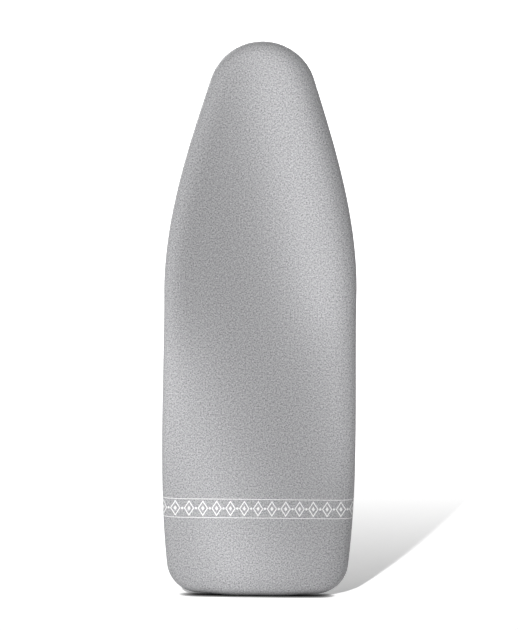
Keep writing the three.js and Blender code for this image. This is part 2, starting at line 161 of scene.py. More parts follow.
def front_rings(line, offset, padded=True):
    """Rings of a layer from the middle of the face, over the board's edge and down to the fold, each
    with its place on the flat cloth."""
    radius = edge_radius + offset
    rolled = slope(line[0][:, 1]) * padded
    edge = line[0] + line[1] * (radius * np.sin(rolled) - edge_radius)[:, None]
    middle = np.stack([np.zeros(len(edge)), np.clip(edge[:, 1], *spine)], 1)
    rings, flat = [], []
    for share in np.linspace(1, 0, 21)[:-1] ** 1.6:
        place = edge + share * (middle - edge)
        depth = board_face + edge_radius - radius * np.cos(slope(place[:, 1]) * padded)
        rise = crowned(place, edge) if padded else 0
        rings.append(np.stack([place[:, 0], depth - rise, place[:, 1]], 1))
        flat.append(place)
    for turn in np.linspace(rolled, math.pi / 2, 11):
        rings.append(ring(line, radius * np.sin(turn) - edge_radius, edge_radius - radius * np.cos(turn)))
        flat.append(line[0] + line[1] * (radius * turn - edge_radius)[:, None])
    for depth in np.linspace(edge_radius, fold_depth, 4)[1:]:
        rings.append(ring(line, offset, depth))
        flat.append(line[0] + line[1] * (radius * math.pi / 2 + depth - 2 * edge_radius))
    return rings, flat


def placed(name, corners, faces, smooth):
    """A new piece from corners in millimetres."""
    mesh = bpy.data.meshes.new(name)
    mesh.from_pydata((np.asarray(corners) * MM).tolist(), [], faces)
    mesh.polygons.foreach_set("use_smooth", [smooth] * len(faces))
    piece = bpy.data.objects.new(name, mesh)
    bpy.context.scene.collection.objects.link(piece)
    return piece


def cloth(name, rings, flat):
    """A mesh through rings of points in millimetres, with the place on the flat cloth, in metres, as UV."""
    rows, columns = len(rings), len(rings[0])
    grid = np.arange(rows * columns).reshape(rows, columns)
    faces = np.stack([grid[:-1, :-1], grid[1:, :-1], grid[1:, 1:], grid[:-1, 1:]], -1)
    piece = placed(name, np.concatenate(rings), faces.reshape(-1, 4).tolist(), True)
    owners = np.empty(len(piece.data.loops), np.int32)
    piece.data.loops.foreach_get("vertex_index", owners)
    places = (np.concatenate(flat) * MM)[owners]
    uv = piece.data.uv_layers.new(name="flat_cloth")
    uv.data.foreach_set("uv", places.astype(np.float32).ravel())
    closing = bmesh.new()
    closing.from_mesh(piece.data)
    bmesh.ops.remove_doubles(closing, verts=closing.verts, dist=1e-6)
    closing.to_mesh(piece.data)
    closing.free()
    return piece


def layer(name, outside, inside, lip, crowned_inside):
    """A layer of padding: its outer side, its rounded end behind the board's edge and its inner side."""
    front, flat = front_rings(board, outside)
    back, back_flat = front_rings(board, inside, crowned_inside)
    end = [ring(board, offset, depth) for offset, depth, gone in lip]
    end_flat = [flat[-1] + board[1] * gone for offset, depth, gone in lip]
    return cloth(name, front + end + back[::-1], flat + end_flat + back_flat[::-1])


def linear(code):
    """An sRGB hex colour as the linear one that a shader takes."""
    parts = [int(code[i:i + 2], 16) / 255 for i in (1, 3, 5)]
    return [c / 12.92 if c <= 0.04045 else ((c + 0.055) / 1.055) ** 2.4 for c in parts] + [1]


def add_node(tree, kind, inputs=None, **settings):
    """Adds a node. An input is given a value, or linked where it is given another node's output."""
    added = tree.nodes.new("ShaderNode" + kind)
    for name, value in settings.items():
        setattr(added, name, value)
    for socket, value in (inputs or {}).items():
        if isinstance(value, bpy.types.NodeSocket):
            tree.links.new(value, added.inputs[socket])
        else:
            added.inputs[socket].default_value = value
    return added.outputs


def noise(tree, where, size, detail, **more):
    """A random pattern with marks of about the given size in millimetres."""
    inputs = {"Vector": where, "Scale": 1 / (size * MM), "Detail": detail, **more}
    return add_node(tree, "TexNoise", inputs)["Fac"]


def ranged(tree, value, low, high, first=0.0, last=1.0):
    """A pattern with its low and high values brought to a first and a last one."""
    inputs = {"Value": value, "From Min": low, "From Max": high, "To Min": first, "To Max": last}
    return add_node(tree, "MapRange", inputs)["Result"]


def blended(tree, factor, first, second):
    """A colour between two others, each a hex code or a pattern."""
    first, second = (linear(end) if isinstance(end, str) else end for end in (first, second))
    return add_node(tree, "Mix", {"Factor": factor, "A": first, "B": second}, data_type="RGBA")["Result"]


def toned(tree, colour, level):
    """A colour made lighter or darker by a pattern."""
    return add_node(tree, "VectorMath", {0: colour, "Scale": level}, operation="SCALE")["Vector"]


def bump(tree, height, strength, depth):
    """The relief of a pattern, for a depth in millimetres."""
    return add_node(tree, "Bump", {"Height": height, "Strength": strength, "Distance": depth * MM})["Normal"]


def material(name):
    """An empty node material, and its tree."""
    made = bpy.data.materials.new(name)
    made.use_nodes = True
    made.node_tree.nodes.clear()
    return made, made.node_tree


def on_object(tree):
    """Places on the object, in metres."""
    return add_node(tree, "TexCoord")["Object"]


def surface(tree, inputs):
    """The shader that the finished surface shows."""
    add_node(tree, "OutputMaterial", {"Surface": add_node(tree, "BsdfPrincipled", inputs)["BSDF"]})


board = outline(**board_shape, spacing=6)
felt_pad = layer("felt_pad_layer", felt_outside, felt_inside, felt_lip, crowned_inside=False)

# Needled polyester felt: matt, off-white, a tangle of 1.6 mm tufts with a few darker strands from
# reclaimed stock.
felt_finish, tree = material("needled_felt")
where = on_object(tree)
tufts = noise(tree, where, 1.6, 6, Roughness=0.72, Distortion=2.5)
clouds = ranged(tree, noise(tree, where, 45, 3), 0.3, 0.7, 0.9, 1.04)
pale = toned(tree, blended(tree, ranged(tree, tufts, 0.28, 0.62), "#b9b6ae", "#e6e3db"), clouds)
dark_strands = ranged(tree, noise(tree, where, 4.5, 2, Distortion=6), 0.655, 0.69)
surface(tree, {
    "Base Color": blended(tree, dark_strands, pale, "#8e9096"), "Roughness": 0.95, "IOR": 1.5,
    "Sheen Weight": 0.25, "Sheen Roughness": 0.5, "Normal": bump(tree, tufts, 0.75, 1.2)})
felt_pad.data.materials.append(felt_finish)
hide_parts("felt_pad")
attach(felt_pad, "cover")

# Foam sheet: three millimetres of soft open-cell foam between the felt and the cloth.
# It is cut to the same outline as the felt and wraps round the edge with it.
foam_inside = 5.9
foam_outside = 8.9
foam_lip = ((8.5, 22.7, 0.5), (7.4, 22.85, 1.5), (6.3, 22.7, 2.5))
foam_sheet = layer("foam_layer", foam_outside, foam_inside, foam_lip, crowned_inside=True)

# Polyurethane foam: cream, matt, with open 0.9 mm cells whose pits are painted darker as shade.
foam_finish, tree = material("open_cell_foam")
cells = add_node(tree, "TexVoronoi", {"Vector": on_object(tree), "Scale": 1 / (0.9 * MM)})["Distance"]
# Painted shade: the colour darkens towards the middle of each cell, where its pit is deepest.
surface(tree, {
    "Base Color": blended(tree, cells, "#cfc6ae", "#f0ebdc"), "Roughness": 0.95, "IOR": 1.5,
    "Normal": bump(tree, cells, 0.8, 0.6)})
foam_sheet.data.materials.append(foam_finish)
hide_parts("foam_sheet")
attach(foam_sheet, "cover")

# Face panel: the ironing surface, cotton cloth with an aluminised coating and a printed border.
# It is cut from one piece, drawn tight over the padding, turned round the edge and sewn to the
# skirt on the back. It puckers a little where it is eased round the nose and the two corners.
face_outside = 10
fabric = 0.8
rear_fold = 9  # radius of the fold onto the back
seam = -11  # where the cloth ends on the back, from the board's edge
pucker_waves = ((0.6, 14, 1.6, 61), (0.4, 9.1, 2.2, 47))  # share, length, and how the length drifts
pucker_start = 0.12  # more on each of the last three rings before the fold
pucker_height = 0.4  # on the fold
settled = 0.45  # how far it sinks between its puckers on the back
sewn_flat = -7  # from here to the seam it doesn't sink
face_spacing = 4
face_thread = 1.1
even_thread = 4.2  # how far a thread keeps its shade
face_grain = 3.2
border_middle = 196  # height of the printed border
border_pitch = 30
lozenge_half = (10.0, 15.5)  # across and up
dot_radius = 2.6
rule_from = 20.5  # from the border's middle
rule_half = 0.7


def step_of(line):
    """The way from one station of an outline to the next."""
    return np.linalg.norm(np.diff(line[0], axis=0), axis=1).mean()


def evened(line, values, reach):
    """Values at an outline's stations, each averaged with those within a reach in millimetres."""
    many = max(1, round(reach / step_of(line)))
    weight = np.exp(-0.5 * (np.arange(-3 * many, 3 * many + 1) / many) ** 2)
    around = np.concatenate([values[-3 * many - 1:-1], values[:-1], values[:3 * many]])
    even = np.convolve(around, weight / weight.sum(), "valid")
    return np.append(even, even[0])


def eased_round(line):
    """From none to all: how much an outline is bent at each station, evened out over a short way."""
    away = line[1][:-1]
    bend = np.linalg.norm(np.roll(away, -1, 0) - np.roll(away, 1, 0), axis=1) / (2 * step_of(line))
    return np.clip(evened(line, np.append(bend, bend[0]), 24) * 125, 0, 1)


def wave(run, length, drift, drift_length):
    """A wave along a run of cloth, with a length that drifts to and fro."""
    return np.sin(2 * math.pi * run / length + drift * np.sin(run / drift_length))


face_line = outline(**board_shape, spacing=face_spacing)
face_run = np.arange(len(face_line[0])) * float(face_spacing)
pucker = eased_round(face_line) * sum(share * wave(face_run, *form) for share, *form in pucker_waves)
sunk = settled * (0.5 - 0.5 * pucker)
face_rings, face_flat = front_rings(face_line, face_outside)
for i, row in enumerate(face_rings[-3:]):
    row[:, [0, 2]] += face_line[1] * (pucker_start * (i + 1) * pucker)[:, None]
reached = (edge_radius + face_outside) * math.pi / 2 + fold_depth - 2 * edge_radius
for turn in np.linspace(0, math.pi / 2, 8)[1:]:
    out = face_outside - rear_fold + rear_fold * math.cos(turn) + pucker_height * math.cos(turn) * pucker
    face_rings.append(ring(face_line, out, fold_depth + (rear_fold - sunk) * math.sin(turn)))
    face_flat.append(face_line[0] + face_line[1] * (reached + rear_fold * turn))
reached += rear_fold * math.pi / 2
for offset in np.linspace(face_outside - rear_fold, seam, 7)[1:]:
    loose = np.clip((offset - sewn_flat) / (face_outside - rear_fold - sewn_flat), 0, 1)
    face_rings.append(ring(face_line, offset, fold_depth + rear_fold - loose * sunk))
    face_flat.append(face_line[0] + face_line[1] * (reached + face_outside - rear_fold - offset))
face_panel = cloth("face_cloth", face_rings, face_flat)


def chosen(piece):
    """Makes a piece the active one and the only one selected."""
    bpy.ops.object.select_all(action="DESELECT")
    bpy.context.view_layer.objects.active = piece
    piece.select_set(True)


def finished(piece, kind, **settings):
    """Adds a modifier to a piece and applies it."""
    chosen(piece)
    change = piece.modifiers.new("finish", kind)
    for name, value in settings.items():
        setattr(change, name, value)
    bpy.ops.object.modifier_apply(modifier=change.name)


def thickened(piece, thickness):
    """Gives a cloth its thickness, inwards from the side that was drawn."""
    finished(piece, "SOLIDIFY", thickness=thickness * MM, offset=-1)


def sums(tree, operation, first, second=0.0, third=0.0):
    """One step of arithmetic on a pattern."""
    return add_node(tree, "Math", {0: first, 1: second, 2: third}, operation=operation)[0]


def flat_cloth(tree):
    """Places on the flat cloth, and their two ways, along and across."""
    flat = add_node(tree, "UVMap", uv_map="flat_cloth")["UV"]
    ways = add_node(tree, "SeparateXYZ", {"Vector": flat})
    return flat, ways["X"], ways["Y"]


def waves(tree, way, length):
    """Even waves of a length in millimetres."""
    return sums(tree, "SINE", sums(tree, "MULTIPLY", way, 2 * math.pi / (length * MM)))


def weave(tree, along, up, thread):
    """The height of a plain weave, from -1 to 1, for a spacing of the threads in millimetres."""
    return sums(tree, "MULTIPLY", waves(tree, along, 2 * thread), waves(tree, up, 2 * thread))


def streaks(tree, flat, scale, detail):
    """A random pattern drawn out one way, with its marks per metre along and across."""
    drawn = add_node(tree, "Mapping", {"Vector": flat, "Scale": (*scale, 1)})["Vector"]
    return noise(tree, drawn, 1 / MM, detail)


thickened(face_panel, fabric)

# Aluminised cotton: a grey metallic coating on a plain weave. The uneven glints of the coated threads are
# painted into its colour as a fine light and dark grain, with a tone that also varies at random from thread
# to thread. Painted shade darkens the hollows between the threads. The threads are drawn at 1.1 mm,
# twice the real spacing, to show.
face_finish, tree = material("aluminised_cotton")
flat, along, up = flat_cloth(tree)
threads = weave(tree, along, up, face_thread)
floats = sums(tree, "POWER", sums(tree, "ABSOLUTE", threads), 0.5)
marks = (1 / (face_thread * MM), 1 / (even_thread * MM))
on_top = add_node(tree, "Mix", {
    "Factor": sums(tree, "GREATER_THAN", threads), "A": streaks(tree, flat, marks, 1),
    "B": streaks(tree, flat, marks[::-1], 1)})["Result"]
glint = noise(tree, flat, face_grain, 2, Roughness=0.7)
# Painted glints: the coated threads' uneven catch of light is painted into the colour as a light and dark
# grain, mixed with a tone that varies at random from thread to thread.
grain_and_painted_glints = ranged(tree, sums(tree, "ADD", on_top, glint), 0.75, 1.25)
# Painted shade: the colour darkens in the hollows between the threads' floats.
hollow_painted_shade = ranged(tree, floats, 0.0, 0.6, 0.72, 1.05)
coat = toned(tree, blended(tree, grain_and_painted_glints, "#747476", "#c4c4c6"), hollow_painted_shade)

# The border repeats every 30 mm: an upright lozenge in outline with a small one inside, a dot
# between each pair, and a thin rule above and below.
pitches = sums(tree, "DIVIDE", along, border_pitch * MM)
apart = sums(tree, "SUBTRACT", pitches, sums(tree, "ROUND", pitches))
beside = sums(tree, "MULTIPLY", sums(tree, "ABSOLUTE", apart), border_pitch)
above = sums(tree, "ABSOLUTE", sums(tree, "SUBTRACT", up, border_middle * MM))
above = sums(tree, "MULTIPLY", above, 1 / MM)
wide, tall = (sums(tree, "DIVIDE", way, half) for way, half in zip((beside, above), lozenge_half))
lozenge = sums(tree, "ADD", wide, tall)
from_dot = sums(tree, "POWER", sums(tree, "SUBTRACT", border_pitch / 2, beside), 2.0)
from_dot = sums(tree, "ADD", from_dot, sums(tree, "POWER", above, 2.0))
printed = sums(tree, "COMPARE", lozenge, 1.0, 0.13)
for mark in (
    sums(tree, "LESS_THAN", lozenge, 0.36),
    sums(tree, "LESS_THAN", from_dot, dot_radius**2),
    sums(tree, "COMPARE", above, rule_from, rule_half),
):
    printed = sums(tree, "MAXIMUM", printed, mark)
# The same painted glints dim the print's white in places.
ink = sums(tree, "MULTIPLY", printed, ranged(tree, glint, 0.3, 0.6, 0.72, 0.95))
surface(tree, {
    "Base Color": blended(tree, ink, coat, "#f1f1f1"), "Metallic": ranged(tree, ink, 0.0, 1.0, 0.1, 0.0),
    "Roughness": ranged(tree, glint, 0.3, 0.7, 0.58, 0.44), "IOR": 1.5, "Specular IOR Level": 0.15,
    "Normal": bump(tree, sums(tree, "ADD", floats, on_top), 0.4, 0.3)})
face_panel.data.materials.append(face_finish)
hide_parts("face_panel")
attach(face_panel, "cover")

# Skirt: plain grey cotton behind the board, sewn to the face all round and drawn in by the cord.
# It lies flat along the sides, where the straps are sewn on, and falls into gathers where the cord
# draws it round the nose and the two corners.
skirt_start = -11.3  # from the board's edge, under the binding
skirt_free = -16.6  # where it leaves the binding
skirt_back = 31.4  # depth of its outer side
hem_foot = 98
hem_edge = 6.5  # half the width of the tunnel on it
tunnel_start = 26  # along the hem from the middle of the blunt end
gather_height = 8
gather_width = 16
slack_height = 1.2  # of the easy waves along the sides
slack_width = 36
strap_levels = {"lower": (250, 126.38), "middle": (480, 129.47), "upper": (710, 128.17)}  # height, half span
label_height = 370


def stations(line, at):
    """An outline's places and ways outwards at runs along it, counted in its own steps."""
    count = np.arange(len(line[0]))
    return tuple(np.stack([np.interp(at, count, part[:, axis]) for axis in (0, 1)], 1) for part in line)


def met_by(line, target, offset):
    """Where lines that leave one outline squarely meet another one round it, in the other's steps."""
    goal = target[0] + target[1] * offset
    met = []
    for place, away in zip(*line):
        gone = goal - place
        aside = away[0] * gone[:, 1] - away[1] * gone[:, 0]
        crossing = np.flatnonzero((aside[:-1] <= 0) & (aside[1:] > 0) & (gone[:-1] @ away > 0))
        first = crossing[0] if len(crossing) else 0
        met.append(first + aside[first] / (aside[first] - aside[first + 1]))
    return np.array(met)


def ramp(value, first, last):
    share = np.clip((value - first) / (last - first), 0, 1)
    return share * share * (3 - 2 * share)


def strip(run, across):
    """Places on a flat strip of cloth, from the way gone along it and the way across."""
    return np.stack([run, np.broadcast_to(across, len(run))], 1)


# Stations along the hem, one for about 2.8 mm of it and down to 1 mm where it is drawn in, and the
# places on the seam straight out from them
hem_fine = outline(hem_foot, tip=1112, nose=52, shoulder=110.5, heel=100, corner=52, flat=26, spacing=0.5)
hem_step = step_of(hem_fine)
hem_run = np.arange(len(hem_fine[0])) * hem_step
hem_length = hem_run[-1]
drawn_in = eased_round(hem_fine)
crowded = np.append(0, np.cumsum(hem_step / (2.8 - 1.8 * drawn_in[:-1])))
ends = np.interp([0, tunnel_start, hem_length - tunnel_start, hem_length], hem_run, crowded)
counts = np.maximum(2, np.round(np.diff(ends))).astype(int)
spread = [np.linspace(a, b, n, endpoint=False) for a, b, n in zip(ends, ends[1:], counts)]
hem_at = np.interp(np.append(np.concatenate(spread), ends[-1]), crowded, hem_run)
hem = stations(hem_fine, hem_at / hem_step)
board_fine = outline(**board_shape, spacing=1)
hem_ways = np.stack([evened(hem_fine, hem_fine[1][:, axis], 16) for axis in (0, 1)], 1)
square_ways = stations((hem_fine[0], hem_ways), hem_at / hem_step)[1]
seam_at = met_by((hem[0], square_ways), board_fine, skirt_free)
seam_at[0] = 0
seam_at[-1] = len(board_fine[0]) - 1
seam_line = stations(board_fine, seam_at)
seam_run = seam_at * step_of(board_fine)

# Where the skirt is held flat: under the cord lock, at the straps and at the label
hem_height = hem[0][:, 1]
flat_here = ramp(np.minimum(hem_at, hem_length - hem_at), 34, 62)
for height, half_span in strap_levels.values():
    flat_here = flat_here * ramp(np.abs(hem_height - height), 16, 34)
from_label = np.where(hem[0][:, 0] > 0, np.abs(hem_height - label_height), 60)
flat_here = flat_here * ramp(from_label, 26, 44)

chance = np.random.default_rng(11)
full = np.interp(hem_at, hem_run, drawn_in)
crowding = np.clip(1.4 * evened(hem_fine, drawn_in, 55), 0, 1)
folds = []
fold_at = 30.0
while fold_at < hem_length - 30:
    crowd = np.interp(fold_at, hem_run, crowding)
    wide = (slack_width + (gather_width - slack_width) * crowd) * chance.uniform(0.65, 1.35)
    tall = (slack_height + (gather_height - slack_height) * crowd) * chance.uniform(0.45, 1.0)
    folds.append((fold_at + wide / 2, wide, tall, chance.uniform(0.0, 0.35), chance.uniform(-0.4, 0.4)))
    fold_at += wide


def gathers(share):
    """How far the folds stand up along the hem, at a share of the way from the seam to the tunnel."""
    height = np.zeros(len(hem_at))
    for middle, wide, tall, begin, lean in folds:
        aside = np.abs(hem_at - middle - lean * wide * (1 - share) ** 2) / (0.62 * wide)
        ridge = np.where(aside < 1, np.cos(np.clip(aside, 0, 1) * math.pi / 2) ** 1.6, 0)
        height = np.maximum(height, tall * ridge * ramp(share, begin * 0.8, begin * 0.8 + 0.5))
    creases = 0.5 * full * wave(hem_at, 5.3, 2, 17) * ramp(share, 0.5, 0.9)
    return (height + creases * (height > 0.6)) * flat_here


def under_tunnel(offset):
    """How much of the folds is left under the tunnel, at an offset from its middle line."""
    return 0.5 * ramp(offset, -1.0, hem_edge)


skirt_rings, skirt_flat = [], []
for offset in (skirt_start, -13.5, -15.2):
    skirt_rings.append(ring(seam_line, offset, skirt_back))
    skirt_flat.append(strip(seam_run, skirt_start - offset))
free_from = ring(seam_line, skirt_free, skirt_back)
free_to = ring(hem, hem_edge, skirt_back)
free_length = np.linalg.norm(free_to - free_from, axis=1)
for share in np.linspace(0, 1, 27):
    row = free_from + share * (free_to - free_from)
    row[:, 1] += gathers(share) * (1 - 0.5 * ramp(share, 0.86, 1))
    skirt_rings.append(row)
    skirt_flat.append(strip(seam_run, skirt_start - skirt_free + share * free_length))
for offset in (5, 3.5, 1.5, -1, -4, -6.5):
    row = ring(hem, offset, skirt_back)
    row[:, 1] += gathers(1) * under_tunnel(offset)
    skirt_rings.append(row)
    skirt_flat.append(strip(seam_run, skirt_start - skirt_free + free_length + hem_edge - offset))
skirt = cloth("skirt_cloth", skirt_rings, skirt_flat)
thickened(skirt, fabric)

# Plain-woven cotton: matt grey with a soft nap and slightly uneven yarns, and painted shade where the weave
# is low, between its threads. The threads are drawn at 0.9 mm, about twice the real spacing, to show.
skirt_thread = 0.9
skirt_finish, tree = material("grey_cotton")
flat, along, up = flat_cloth(tree)
threads = weave(tree, along, up, skirt_thread)
slubs = streaks(tree, flat, (40, 900), 2)
dyed = blended(tree, ranged(tree, slubs, 0.3, 0.7), "#96989b", "#b4b6b8")
# Painted shade: the colour darkens where the weave is low, between the threads.
gap_painted_shade = ranged(tree, threads, -0.15, 0.15, 0.93, 1.03)
worn = ranged(tree, noise(tree, flat, 60, 3), 0.3, 0.7, 0.95, 1.04)
nap = sums(tree, "ADD", threads, sums(tree, "MULTIPLY", slubs, 1.2))
surface(tree, {
    "Base Color": toned(tree, dyed, sums(tree, "MULTIPLY", gap_painted_shade, worn)), "Roughness": 0.88, "IOR": 1.5,
    "Sheen Weight": 0.2, "Sheen Roughness": 0.4, "Normal": bump(tree, nap, 0.5, 0.3)})
skirt.data.materials.append(skirt_finish)
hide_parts("skirt")
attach(skirt, "cover")

# Seam binding: a grey twill tape, ten millimetres wide, laid over the seam between face and skirt.
# A row of lockstitches along each edge sews it down through both cloths.
binding_inner = -16.3
binding_outer = -6.3
binding_top = 32.4  # depth of its outer side
binding_thickness = 0.7
binding_spacing = 3
binding_stitch_in = 1.3  # from its edges
binding_line = outline(**board_shape, spacing=binding_spacing)
tape_run = np.arange(len(binding_line[0])) * float(binding_spacing)
eased_in = eased_round(binding_line) * wave(tape_run, 8.3, 1.7, 37)
tape_rings, tape_flat = [], []
for share in np.linspace(0, 1, 9):
    offset = binding_outer + share * (binding_inner - binding_outer)
    rise = 0.18 * math.sin(math.pi * share) ** 0.5 + 0.12 * share * (0.5 + 0.5 * eased_in)
    tape_rings.append(ring(binding_line, offset, binding_top + rise))
    tape_flat.append(strip(tape_run, share * (binding_outer - binding_inner)))
binding = cloth("binding_tape_ring", tape_rings, tape_flat)
thickened(binding, binding_thickness)

# Cotton twill tape: fine slanting ribs, a shade darker than the skirt, in an uneven tone with painted shade
# in the troughs of the ribs. The ribs are drawn at 1.2 mm.
tape_finish, tree = material("twill_tape")
flat, along, up = flat_cloth(tree)
ribs = waves(tree, sums(tree, "ADD", along, sums(tree, "MULTIPLY", up, 1.6)), 1.2)
# Partly painted shade: the colour darkens in the troughs of the ribs, and also varies at random.
twill = sums(tree, "ADD", sums(tree, "MULTIPLY", ribs, 0.25), noise(tree, flat, 0.8, 3))
surface(tree, {
    "Base Color": blended(tree, ranged(tree, twill, 0.1, 0.9), "#7b7d81", "#9a9c9f"), "Roughness": 0.85,
    "IOR": 1.5, "Sheen Weight": 0.15, "Normal": bump(tree, twill, 0.6, 0.3)})
binding.data.materials.append(tape_finish)
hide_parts("seam_binding")
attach(binding, "cover")

# Polyester sewing thread: light grey, with a soft shine.
thread_finish, tree = material("polyester_thread")
twist = noise(tree, on_object(tree), 0.6, 2)
surface(tree, {
    "Base Color": blended(tree, twist, "#b9babc", "#e4e4e3"), "Roughness": 0.5, "IOR": 1.55,
    "Sheen Weight": 0.2, "Normal": bump(tree, twist, 0.4, 0.2)})


def stitches(name, seams, body, pitch=3.4, thread=0.5):
    """Lockstitches along seams on the back, each a line of points in millimetres."""
    around = np.linspace(0, 2 * math.pi, 6, endpoint=False)
    profile = ((-1, 0.35, -0.55), (-0.62, 1, 0), (0.62, 1, 0), (1, 0.35, -0.55))  # along, width, height
    bead = np.array([(reach, wide * math.cos(a), sink + 0.8 * wide * math.sin(a))
                     for reach, wide, sink in profile for a in around])
    faces = [[6 * i + k, 6 * i + (k + 1) % 6, 6 * i + 6 + (k + 1) % 6, 6 * i + 6 + k]
             for i in range(3) for k in range(6)]
    faces += [list(range(6))[::-1], list(range(18, 24))]
    corners, quads = [], []
    for points in seams:
        run = run_of(points)
        count = max(1, round(run[-1] / pitch))
        ends = [np.stack([np.interp((np.arange(count) + at) * run[-1] / count, run, points[:, axis])
                          for axis in range(3)], 1) for at in (0.12, 0.88)]
        for first, last in zip(*ends):
            ahead = (last - first) / 2
            side = np.cross((0, 1, 0), ahead / np.linalg.norm(ahead))
            up = np.cross(ahead / np.linalg.norm(ahead), side)
            base = len(corners) * len(bead)
            thick = thread / 2 * (bead[:, 1:2] * side + bead[:, 2:] * up)
            corners.append((first + last) / 2 + bead[:, :1] * ahead + thick)
            quads += [[base + corner for corner in face] for face in faces]
    row = placed(name, np.concatenate(corners), quads, smooth=True)
    row.data.materials.append(thread_finish)
    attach(row, body)


edge_rows = [ring(binding_line, offset, binding_top + 0.16)
             for offset in (binding_outer - binding_stitch_in, binding_inner + binding_stitch_in)]
stitches("binding_stitches", edge_rows, "cover")

# Drawcord tunnel: a strip of the same tape, folded over the cord along the mouth and sewn down on
# its outer edge. It is scrunched up with the gathers and open at both ends, where the cord comes out.
tunnel_floor = 31.7
tunnel_height = 6.4
tunnel_thickness = 0.75
tunnel_stitch = 5.8  # out from its middle line
# Across the strip, from its sewn edge over the cord and back underneath: out from the middle, up
tunnel_profile = np.array([
    (6.5, 1.62), (5.9, 1.64), (5.2, 1.72), (4.7, 2.3), (4.3, 3.4), (3.6, 4.8), (2.4, 5.9), (0.8, 6.35),
    (-1.0, 6.4), (-2.8, 6.2), (-4.6, 5.5), (-5.9, 4.3), (-6.4, 3.0), (-6.0, 1.7), (-4.9, 0.6),
    (-3.2, 0.05), (-1.0, 0.0), (2.0, 0.0), (4.5, 0.0), (6.5, 0.0)])
sewn = slice(counts[0], counts[0] + counts[1] + 1)
tunnel_line = (hem[0][sewn], hem[1][sewn])
tunnel_run = hem_at[sewn]
chance = np.random.default_rng(5)
crimp = np.zeros(len(tunnel_run))
crimp_at = tunnel_start + 3
while crimp_at < hem_length - tunnel_start - 3:
    crowd = np.interp(crimp_at, hem_run, drawn_in)
    wide = (13 - 7 * crowd) * chance.uniform(0.75, 1.35)
    depth = (0.35 + 0.75 * crowd) * chance.uniform(0.5, 1.0)
    crimp -= depth * np.exp(-(((tunnel_run - crimp_at) / (0.22 * wide)) ** 2))
    crimp_at += wide
tunnel_folds = gathers(1)[sewn]
wander = 0.25 * np.sin(tunnel_run / 9.7 + 2 * np.sin(tunnel_run / 71)) + 0.35 * crimp
tunnel_rings, tunnel_flat = [], []
tunnel_across = run_of(tunnel_profile)
for (out, up), across in zip(tunnel_profile, tunnel_across):
    puffed = up / tunnel_height
    aside = wander * np.sign(out) * min(1, puffed * 2) * (abs(out) > 3)
    lifted = crimp * puffed**0.7 + tunnel_folds * under_tunnel(out) * (1 - 0.6 * puffed)
    tunnel_rings.append(ring(tunnel_line, out + aside, tunnel_floor + up + lifted))
    tunnel_flat.append(strip(tunnel_run, across))
tunnel = cloth("tunnel_tape", tunnel_rings, tunnel_flat)
thickened(tunnel, tunnel_thickness)
tunnel.data.materials.append(tape_finish)
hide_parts("drawcord_tunnel")
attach(tunnel, "cover")
hem_seam = ring(tunnel_line, tunnel_stitch, tunnel_floor + 1.74)
hem_seam[:, 1] += tunnel_folds * under_tunnel(tunnel_stitch) * 0.85 + 0.16 * crimp
between = np.arange(-tunnel_start + 1, tunnel_start)
mouth_hem = ring(stations(hem_fine, between % hem_length / hem_step), -3.6, skirt_back + 0.06)
stitches("tunnel_stitches", [hem_seam, mouth_hem], "cover", pitch=3.0)

# Drawcord: a round braided polyester cord, three and a half millimetres thick. It runs round the
# tunnel, comes out at both of its ends, passes through the lock and ends in the moulded pull.
cord_radius = 1.75
cord_depth = 19.05
braid_depth = 0.2
braid_pitch = 3.2  # from one crossing of its strands to the next
lock_place = np.array([0, 22.85, 58])
cords_apart = 1.95
cord_straight = 76.5  # height at which the cords run straight down
cord_ends = 23.8


def cord_exit(side):
    """From the tunnel's open end to the cord's end in the pull. The two cords lie one behind the other."""
    depth = lock_place[1] + side * cords_apart
    mouth = np.array([side * tunnel_start, cord_depth, hem_foot])
    leaving = np.array([side * tunnel_start / 2, cord_depth, hem_foot])
    arriving = np.array([0, depth, cord_straight + 0.6 * (hem_foot - cord_straight)])
    top = np.array([0, depth, cord_straight])
    bend = curve(mouth, leaving, arriving, top, np.linspace(0, 1, 90))
    return np.concatenate([bend, np.linspace(top, [0, depth, cord_ends], 115)[1:]])


def capped(piece):
    """Closes a tube's ends and turns its faces outwards."""
    chosen(piece)
    bpy.ops.object.mode_set(mode="EDIT")
    bpy.ops.mesh.select_all(action="SELECT")
    bpy.ops.mesh.fill_holes(sides=0)
    bpy.ops.mesh.normals_make_consistent(inside=False)
    bpy.ops.object.mode_set(mode="OBJECT")


inside = np.insert(tunnel_line[0], 1, cord_depth, axis=1)
cord_path = np.concatenate([cord_exit(1)[:0:-1], inside, cord_exit(-1)[1:]])
ahead = np.gradient(cord_path, axis=0)
ahead /= np.linalg.norm(ahead, axis=1)[:, None]
side = np.cross(ahead, (0, 1, 0))
side /= np.linalg.norm(side, axis=1)[:, None]
over = np.cross(side, ahead)
cord_run = run_of(cord_path)
lay = math.pi / braid_pitch * cord_run
cord_rings, cord_flat = [], []
for turn in np.linspace(0, 2 * math.pi, 33):
    strands = np.sqrt(np.abs(np.sin(4 * turn + lay) * np.sin(4 * turn - lay)))
    thick = (cord_radius - braid_depth + braid_depth * strands)[:, None]
    cord_rings.append(cord_path + thick * (math.cos(turn) * side + math.sin(turn) * over))
    cord_flat.append(strip(cord_run, turn * cord_radius))
drawcord = cloth("drawcord_braid", cord_rings, cord_flat)
capped(drawcord)

